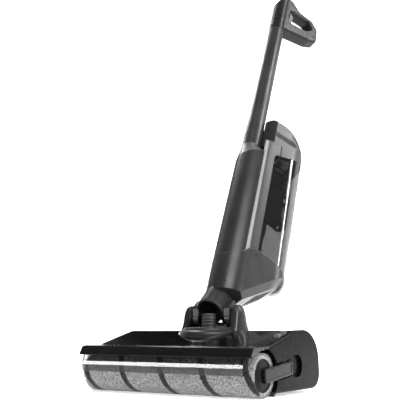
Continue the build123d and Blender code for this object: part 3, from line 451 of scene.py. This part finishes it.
def set_lights():
    world = bpy.data.worlds.new("studio")
    bpy.context.scene.world = world
    world.use_nodes = True
    background = world.node_tree.nodes["Background"]
    background.inputs["Color"].default_value = (1, 1, 1, 1)
    background.inputs["Strength"].default_value = 0.10
    bpy.context.scene.view_settings.view_transform = "Standard"
    middle = Vector((0, 0, 0.35))
    area_light("key_right", Vector((1.9, -0.4, 1.0)), middle, 0.45, 1.9, 60)
    area_light("rim_left", Vector((-1.5, 0.9, 0.9)), middle, 0.20, 1.9, 20)
    area_light("top_soft", Vector((0.2, -0.9, 2.3)), middle, 1.0, 0.7, 22)
    # the strip whose reflection is the white line on the window
    area_light("front_strip", Vector((-1.05, -1.75, 0.215)), Vector((0, -0.35, 0.04)), 1.5, 0.11, 13)
    # the strip whose reflection is the streak down the tank
    tank_middle = centre("dirty_tank")
    strip_place = tank_middle + Vector((0.80, 0.90, 0.94))
    strip = area_light("tank_strip", strip_place, tank_middle, 0.10, 1.3, 13)
    strip.rotation_euler.rotate_axis("Z", math.radians(-12))
    area_light("back_wall", Vector((-0.6, 1.0, 2.2)), Vector((-1.2, 2.4, 0.9)), 2.4, 1.2, 60)


def set_flag():
    """Black card behind the object, seen only in reflections; it keeps the glossy deck dark."""
    centre_point = Vector((-0.80, 0.76, 0.70))
    across_card = Vector((0.79, 0.61, 0))
    up_card = Vector((0.26, -0.33, 0.91))
    half_width, half_height = 1.1, 0.34
    verts = [centre_point + across_card * (sx * half_width) + up_card * (sz * half_height)
             for sx, sz in ((-1, -1), (1, -1), (1, 1), (-1, 1))]
    mesh = bpy.data.meshes.new("black_flag")
    mesh.from_pydata([tuple(v) for v in verts], [], [(0, 1, 2, 3)])
    card = bpy.data.objects.new("black_flag", mesh)
    bpy.context.scene.collection.objects.link(card)
    material, tree, shader = new_material("flag_cloth")
    weave = noise_node(tree, object_coords(tree), 300.0)
    black = mix_colours(tree, weave, (0.001, 0.001, 0.001), (0.003, 0.003, 0.003))
    tree.links.new(black, shader.inputs["Base Color"])
    shader.inputs["Roughness"].default_value = 1.0
    shader.inputs["Specular IOR Level"].default_value = 0.0
    mesh.materials.append(material)
    card.visible_camera = False
    card.visible_diffuse = False
    card.visible_shadow = False


# ------------------------------------------------------------------ pieces
def build_fleece(material):
    """Fleece sleeve with a lumpy pile surface and loose tufts at its edges."""
    low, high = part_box("roller_fleece")
    outer = (high.z - low.z) / 2
    inner = outer - 0.0069                  # thickness of the fleece
    x0, x1 = low.x, high.x
    count, steps = 330, 520                 # points round the roller and rings along it
    edge = 0.0045                           # rounding of the two ends
    profile = []
    for i in range(4):
        profile.append((x0 + 0.0004, inner + 0.0003 + (outer - edge - inner) * i / 4))
    for i in range(7):
        t = math.pi / 2 * i / 6
        profile.append((x0 + edge - edge * math.cos(t), outer - edge + edge * math.sin(t)))
    for i in range(1, steps):
        profile.append((x0 + edge + (x1 - x0 - 2 * edge) * i / steps, outer))
    for i in range(7):
        t = math.pi / 2 * (1 - i / 6)
        profile.append((x1 - edge + edge * math.cos(t), outer - edge + edge * math.sin(t)))
    for i in range(4):
        profile.append((x1 - 0.0004, outer - edge - (outer - edge - inner) * (i + 0.5) / 4))
    verts = []
    for along, radius in profile:
        for i in range(count):
            t = 2 * math.pi * i / count
            c, s = math.cos(t), math.sin(t)
            point = Vector((along, radius * c, radius * s))
            lump = noise.noise(point * 420.0) * 0.5 + noise.noise(point * 1100.0) * 0.5
            clump = noise.noise(point * 150.0)
            push = -0.0009 + 0.00075 * lump + 0.0003 * clump
            r = radius + push
            verts.append(Vector((along, ROLLER.y + r * c, ROLLER.z + r * s)))
    faces = rings_to_faces(len(profile), count, closed_ends=False)
    rng = random.Random(7)
    end_share, tuft_half = 0.16, 0.00032    # share of tufts on the end faces, half width of a tuft
    reach = outer - 0.0002                  # no tuft stands further out than this
    origin = Vector((0, ROLLER.y, ROLLER.z))
    tufts = 15000
    for _ in range(tufts):
        if rng.random() < end_share:
            right = rng.random() < 0.5
            radius = inner + (outer - inner) * (0.15 + 0.78 * rng.random())
            along = x1 - 0.0006 if right else x0 + 0.0006
            out = Vector((1.0 if right else -1.0, 0, 0))
            t = rng.random() * 2 * math.pi
            radial = Vector((0, math.cos(t), math.sin(t)))
            lean = (out * 0.5 + radial * 0.9 * (radius - inner) / (outer - inner)).normalized()
            length = 0.0012 + 0.0012 * rng.random()
        else:
            radius = outer - 0.0008
            along = x0 + 0.003 + (x1 - x0 - 0.006) * rng.random()
            t = rng.random() * 2 * math.pi
            radial = Vector((0, math.cos(t), math.sin(t)))
            stray = Vector((rng.uniform(-0.6, 0.6), rng.uniform(-0.5, 0.5), rng.uniform(-0.5, 0.5)))
            lean = (radial + stray).normalized()
            length = 0.0009 + 0.0009 * rng.random()
        root = Vector((along, 0, 0)) + radial * radius
        across = lean.cross(Vector((0.3, 0.5, 0.8))).normalized() * tuft_half
        other = lean.cross(across).normalized() * tuft_half
        start = len(verts)
        for k in range(3):
            a = 2 * math.pi * k / 3
            verts.append(origin + root + across * math.cos(a) + other * math.sin(a))
        tip = root + lean * length
        flat = Vector((0, tip.y, tip.z))
        if flat.length > reach:
            flat = flat.normalized() * reach
            tip = Vector((tip.x, flat.y, flat.z))
        tip.x = min(max(tip.x, x0 - 0.001), x1 + 0.001)
        verts.append(origin + tip)
        faces += [(start, start + 1, start + 3), (start + 1, start + 2, start + 3),
                  (start + 2, start, start + 3)]
    make_object("fleece_pile", verts, faces, material, "roller",
                replaced=("roller_fleece",))


def build_turret(material, dark):
    """Turret: a flared round base with a well, and two mitre-shaped ears that carry the neck."""
    cx, cy = PIVOT.x, PIVOT.y
    base_z = 0.0735
    # height and radius of the flare, the crest and the well
    profile = [(base_z, 0.0583), (base_z + 0.004, 0.0578), (0.0815, 0.0562), (0.0848, 0.0545),
               (0.0868, 0.0520), (0.0875, 0.0500), (0.0885, 0.0485), (0.0915, 0.0470),
               (0.0925, 0.0450), (0.0926, 0.0415), (0.0915, 0.0385), (0.0880, 0.0362),
               (0.0840, 0.0352), (base_z, 0.0345), (base_z, 0.045)]
    count = 96
    verts = []
    for z, r in profile:
        for i in range(count):
            t = 2 * math.pi * i / count
            x, y = r * math.cos(t), r * math.sin(t)
            lift = 0.0045 * y
            if z < 0.080:                   # the foot follows the deck's slope
                lift += 0.026 * y
            elif z > 0.0865 and y > 0:      # the crest drops at the rear, clear of the body's chin
                lift -= 0.0016 * min(1.0, y / 0.038) ** 2
            verts.append(Vector((cx + x, cy + y, z + lift)))
    faces = closed_lathe_faces(len(profile), count)
    # ears: height, half length, inner and outer face, the last three in mm
    levels = [(0.0835, 24.5, 35.0, 53.0), (0.0885, 22.0, 34.9, 52.4), (0.0925, 20.0, 34.8, 51.6),
              (0.0970, 18.2, 34.7, 50.9), (0.1030, 16.8, 34.7, 50.4), (0.1100, 15.6, 34.7, 50.1),
              (0.1150, 13.8, 34.8, 49.6), (0.1192, 11.8, 35.3, 48.8), (0.1225, 9.0, 36.4, 47.4),
              (0.1245, 5.8, 38.0, 45.6), (0.1255, 2.4, 40.0, 43.6)]
    segments, squareness = 40, 0.74
    for side in (-1, 1):
        rings = []
        for z, half, inner, outer in levels:
            ring = []
            mid = (inner + outer) / 2
            wide = (outer - inner) / 2
            for i in range(segments):
                t = 2 * math.pi * i / segments
                c, s = math.cos(t), math.sin(t)
                px = mid + wide * math.copysign(abs(c) ** squareness, c)
                py = half * math.copysign(abs(s) ** squareness, s)
                ring.append(Vector((cx + side * px * MM, cy + py * MM, z)))
            rings.append(ring)
        start = len(verts)
        for ring in rings:
            verts.extend(ring)
        for face in rings_to_faces(len(rings), segments):
            faces.append(tuple(start + v for v in face))
    # raised rear lip of the well that hides the neck's inside from the front
    lip = [(0.0860, 17.5), (0.0940, 18.0), (0.0985, 19.0), (0.1003, 20.5),
           (0.1003, 22.5), (0.0985, 24.0), (0.0940, 25.5), (0.0860, 27.0)]
    stations, half_span = 25, 35.5
    start = len(verts)
    for k in range(stations):
        t = (k / (stations - 1) - 0.5) * 2
        rise = 0.0072 * math.exp(-((abs(t) - 0.52) / 0.26) ** 4)
        for z, back in lip:
            sag = 7.0 * t * t
            height = z + (rise if z > 0.09 else 0)
            verts.append(Vector((cx + t * half_span * MM, cy + (back - sag) * MM, height)))
    for face in rings_to_faces(stations, len(lip)):
        faces.append(tuple(start + v for v in face))
    turret = make_object("turret_shell", verts, faces, material, "head", replaced=("turret",))
    fix_normals(turret)
    # rubber plate on the floor of the well, round the hose
    profile = [(0.0745, 0.0118), (0.0760, 0.0120), (0.0768, 0.0150), (0.0752, 0.0200),
               (0.0750, 0.0340), (0.0738, 0.0350), (0.0735, 0.0200), (0.0738, 0.0118)]
    limit = 0.0352
    hose = centre("neck_hose")
    verts = lathe(profile, 72, Vector((hose.x, hose.y, 0)), Vector((0, 0, 1)))
    for i, vert in enumerate(verts):
        middle = Vector((cx, cy, vert.z))
        if (vert - middle).length >= limit:
            verts[i] = middle + (vert - middle).normalized() * limit
    plate = make_object("well_boot", verts, closed_lathe_faces(len(profile), 72), dark, "head")
    fix_normals(plate)


def build_hose(material):
    """Ribbed suction hose that bows slightly forward between the deck and the sleeve."""
    low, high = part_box("neck_hose")
    mid = centre("neck_hose")
    bottom = Vector((mid.x, mid.y, low.z))
    length = high.z - low.z
    count = 48
    ribs, rings_per_rib, bore = 7, 10, 0.0078
    rings = []
    total = ribs * rings_per_rib
    for k in range(total + 1):
        f = k / total
        bend = 0.0018 * math.sin(f * math.pi)
        point = bottom + Vector((0, -bend, length * f))
        wave = 0.5 - 0.5 * math.cos(2 * math.pi * f * ribs)
        radius = 0.0092 + 0.0017 * wave ** 0.6
        rings.append((point, radius))
    verts = []
    for point, radius in rings:
        for i in range(count):
            t = 2 * math.pi * i / count
            verts.append(point + Vector((radius * math.cos(t), radius * math.sin(t), 0)))
    for point, radius in (rings[-1], rings[0]):
        for i in range(count):
            t = 2 * math.pi * i / count
            verts.append(point + Vector((bore * math.cos(t), bore * math.sin(t), 0)))
    faces = closed_lathe_faces(len(rings) + 2, count)
    hose = make_object("ribbed_hose", verts, faces, material, "head", replaced=("neck_hose",))
    fix_normals(hose)


def hermite(p, q, slope_p, slope_q, t):
    """Height of a cubic between two (y, z) points at a fraction t of the way."""
    run = q[0] - p[0]
    a = 2 * t ** 3 - 3 * t ** 2 + 1
    b = t ** 3 - 2 * t ** 2 + t
    return a * p[1] + b * run * slope_p + (1 - a) * q[1] + (t ** 3 - t ** 2) * run * slope_q


def body_point(x, y, z):
    """Point given in the body's own millimetres, with the pole on its Z axis."""
    origin = centre("pole") - BODY_UP * POLE_MIDDLE_UP
    return origin + (BODY_SIDE * x + BODY_BACK * y + BODY_UP * z) * MM


def build_seam_highlight(material):
    """Slim lighter bead along the seam between the lower body and the shells above it: a painted highlight
    standing in for the edge highlight of the lower body's lip.
    """
    radius, front_c, rear_c = 42.0, 21.5, 64.5          # the body's outline, mm
    nose_y, nose_z = -15.0, 114.5                       # where the seam starts to run along the side
    knots = [(nose_y, nose_z, 0.0), (4.0, 119.5, 0.62), (26.0, 134.0, 0.0), (58.0, 130.6, -0.25),
             (104.0, 112.0, -0.62)]                     # back, up and slope of the seam's side line
    side_path = []
    for k in range(len(knots) - 1):
        (y0, z0, m0), (y1, z1, m1) = knots[k], knots[k + 1]
        for i in range(14):
            t = i / 14
            side_path.append((y0 + (y1 - y0) * t, hermite((y0, z0), (y1, z1), m0, m1, t)))
    half = []
    for i in range(8):
        angle = math.pi / 2 * i / 8
        y = front_c - radius * math.cos(angle * 0.335)
        if y < nose_y:
            half.append((math.sqrt(max(radius ** 2 - (front_c - y) ** 2, 0)), y, nose_z))
    for y, z in side_path:
        off = front_c - y if y < front_c else (y - rear_c if y > rear_c else 0.0)
        half.append((math.sqrt(max(radius ** 2 - off ** 2, 0)), y, z))
    loop = [(-x, y, z) for x, y, z in reversed(half[1:])] + half
    verts = []
    count = 8
    for k, (x, y, z) in enumerate(loop):
        point = body_point(x, y, z)
        ahead = body_point(*loop[min(k + 1, len(loop) - 1)])
        behind = body_point(*loop[max(k - 1, 0)])
        run = (ahead - behind).normalized()
        middle = body_point(0, min(max(y, front_c), rear_c), z)
        out = (point - middle).normalized()
        side = run.cross(out).normalized()
        for i in range(count):
            t = 2 * math.pi * i / count
            verts.append(point + out * (0.00045 * math.cos(t)) + side * (0.00050 * math.sin(t)))
    faces = rings_to_faces(len(loop), count)
    # the bead is a painted highlight in satin grey for the lip's edge highlight
    bead = make_object("seam_highlight_bead", verts, faces, material, "upright")
    fix_normals(bead)


def build_window(material):
    """Smoked window with a flat moulded band along its bulge and a rounded left end.

    Its faces stay flat-shaded, so the band reflects the front strip as one straight line.
    """
    low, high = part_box("cover_window")
    x0, x1 = low.x, high.x
    face_y = low.y
    z0, z1 = low.z, high.z
    band = math.tan(math.radians(5.0))      # the band leans back by this much
    # height and set-back of the outer face
    outer = [(z0, 0.0023), (z0 + 0.0035, 0.0012), (z0 + 0.0070, 0.0005), (z0 + 0.0092, 0.0003),
             (z0 + 0.0094, 0.0001), (z0 + 0.0142, 0.0001 + 0.0048 * band), (z0 + 0.0144, 0.0008),
             (z0 + 0.0180, 0.0014), (z1, 0.0026)]
    thick = 0.0016
    turn_r, turn_steps = 0.0095, 24
    stations = []
    for i in range(turn_steps + 1):
        t = math.pi / 2 * i / turn_steps
        stations.append((x0 + turn_r * (1 - math.cos(t)), turn_r * (1 - math.sin(t)), t))
    stations.append((x1, 0.0, math.pi / 2))
    verts = []
    for x, back, t in stations:
        ring = [Vector((x, face_y + y + back, z)) for z, y in outer]
        inward = Vector((math.cos(t), math.sin(t), 0)) * thick
        ring += [v + inward for v in reversed(ring)]
        verts.extend(ring)
    count = len(outer) * 2
    faces = rings_to_faces(len(stations), count)
    window = make_object("moulded_window", verts, faces, material, "cover",
                         smooth=False, replaced=("cover_window",))
    fix_normals(window)


# ------------------------------------------------------------------ build
set_camera()
set_stage()
set_lights()
set_flag()

GRAPHITE = plastic("satin_graphite", (0.026, 0.026, 0.027), 0.30, grain=0.06, metal=0.2, sheen=0.35)
GRAPHITE_LIGHT = plastic("satin_graphite_light", (0.034, 0.034, 0.035), 0.30,
                         grain=0.05, metal=0.35, sheen=0.4)
SATIN_GREY = plastic("satin_grey", (0.070, 0.070, 0.072), 0.30, grain=0.05, metal=0.5)
# the frame's channel carries a painted highlight in the lighter grey
FRAME_GREY = satin_with_painted_highlight("frame_painted_highlight", (0.045, 0.045, 0.046), (0.36, 0.36, 0.37), 0.32, CHANNEL_EDGE)
SATIN_BLACK = plastic("satin_black", (0.0025, 0.0025, 0.0025), 0.27, grain=0.05, sheen=0.06)
ARM_BLACK = plastic("arm_black", (0.006, 0.006, 0.006), 0.25, grain=0.05, sheen=0.22)
MATT_BLACK = plastic("matt_black", (0.006, 0.006, 0.006), 0.50, grain=0.20, sheen=0.2)
DARK_GREY = plastic("dark_grey", (0.055, 0.055, 0.057), 0.40, grain=0.15)
GRIP = plastic("grip_plastic", (0.008, 0.008, 0.008), 0.28, grain=0.08, sheen=0.25)
LATCH_GREY = plastic("latch_grey", (0.13, 0.13, 0.13), 0.32, grain=0.08)
MID_GREY = plastic("mid_grey", (0.30, 0.30, 0.30), 0.45, grain=0.15)
NATURAL = plastic("natural_plastic", (0.55, 0.55, 0.52), 0.45, grain=0.15)
COATED = plastic("coated_tube", (0.030, 0.030, 0.031), 0.32, grain=0.05, metal=0.4)
PIANO = gloss_black("piano_black")
WINDOW = smoked("smoked_window", (0.008, 0.008, 0.008), 0.42)
TANK = smoked("smoked_tank", (0.010, 0.010, 0.010), 0.50, rough=0.02, haze_scale=120.0)
CLEAR = smoked("clear_tank", (0.70, 0.73, 0.75), 0.22)
RISER = plastic("riser_plastic", (0.020, 0.020, 0.021), 0.35, grain=0.08)
RUBBER = rubber("black_rubber")
TREAD = rubber("tyre_rubber", (0.02, 0.02, 0.02), 0.7)
HOSE = rubber("hose_rubber", (0.03, 0.03, 0.03), 0.45)
STEEL = metal("plain_steel", (0.55, 0.55, 0.56), 0.28)
CAN = metal("motor_can", (0.38, 0.38, 0.39), 0.35)
FLEECE = fleece_material("fleece", pitch=0.068, width=0.140, offset=0.51)
FILTER = cloth("filter_cloth", (0.75, 0.75, 0.72))
BOARD = board_material("circuit_board")
WRAP = plastic("cell_wrap", (0.02, 0.10, 0.22), 0.30, grain=0.05)

FINISH = {
    "chassis": SATIN_BLACK, "deck": PIANO, "side_panel_right": SATIN_BLACK,
    "side_panel_left": SATIN_BLACK, "front_cover": PIANO, "cover_window": WINDOW,
    "cover_lip": MATT_BLACK, "latch_base": MATT_BLACK, "latch_tabs": LATCH_GREY, "turret": GRAPHITE,
    "hinge_pins": STEEL, "neck_hose": HOSE, "head_duct": MATT_BLACK, "outlet_seal": RUBBER,
    "scraper": RUBBER, "spray_bar": MID_GREY, "squeegee": RUBBER, "wheel_left": MATT_BLACK,
    "wheel_right": MATT_BLACK, "tyre_left": TREAD, "tyre_right": TREAD, "wheel_axles": STEEL,
    "base_screws": STEEL, "brush_motor": CAN, "brush_gearbox": CAN, "drive_coupling": NATURAL,
    "roller_core": DARK_GREY, "roller_fleece": FLEECE, "roller_bearing": STEEL,
    "roller_arm": ARM_BLACK, "roller_end_disc": MATT_BLACK, "neck_sleeve": GRAPHITE,
    "swivel_ring": STEEL, "lower_body": GRAPHITE, "exhaust_grille": MATT_BLACK,
    "front_shell": GRAPHITE, "rear_frame": FRAME_GREY, "pole": COATED, "pole_button": GRAPHITE,
    "battery_case": MATT_BLACK, "battery_cells": WRAP, "circuit_board": BOARD,
    "clean_water_tank": CLEAR, "inlet_duct": MATT_BLACK, "water_pump": MATT_BLACK,
    "suction_motor": CAN, "motor_mount": RUBBER, "dirty_tank": TANK, "tank_cap": GRAPHITE_LIGHT,
    "tank_latch": SATIN_GREY, "tank_seal": RUBBER, "tank_riser": RISER, "filter_cage": MATT_BLACK,
    "tank_filter": FILTER, "tank_float": NATURAL, "float_guide": MATT_BLACK, "handle": GRIP,
    "power_button": MID_GREY, "mode_button": MID_GREY, "trigger": DARK_GREY,
}
for name, obj in NODES.items():
    obj.data.materials.clear()
    obj.data.materials.append(FINISH[name])

build_fleece(FLEECE)
build_turret(GRAPHITE, RUBBER)
build_hose(HOSE)
build_window(WINDOW)
# painted highlight along the seam between the lower body and the shells
build_seam_highlight(SATIN_GREY)
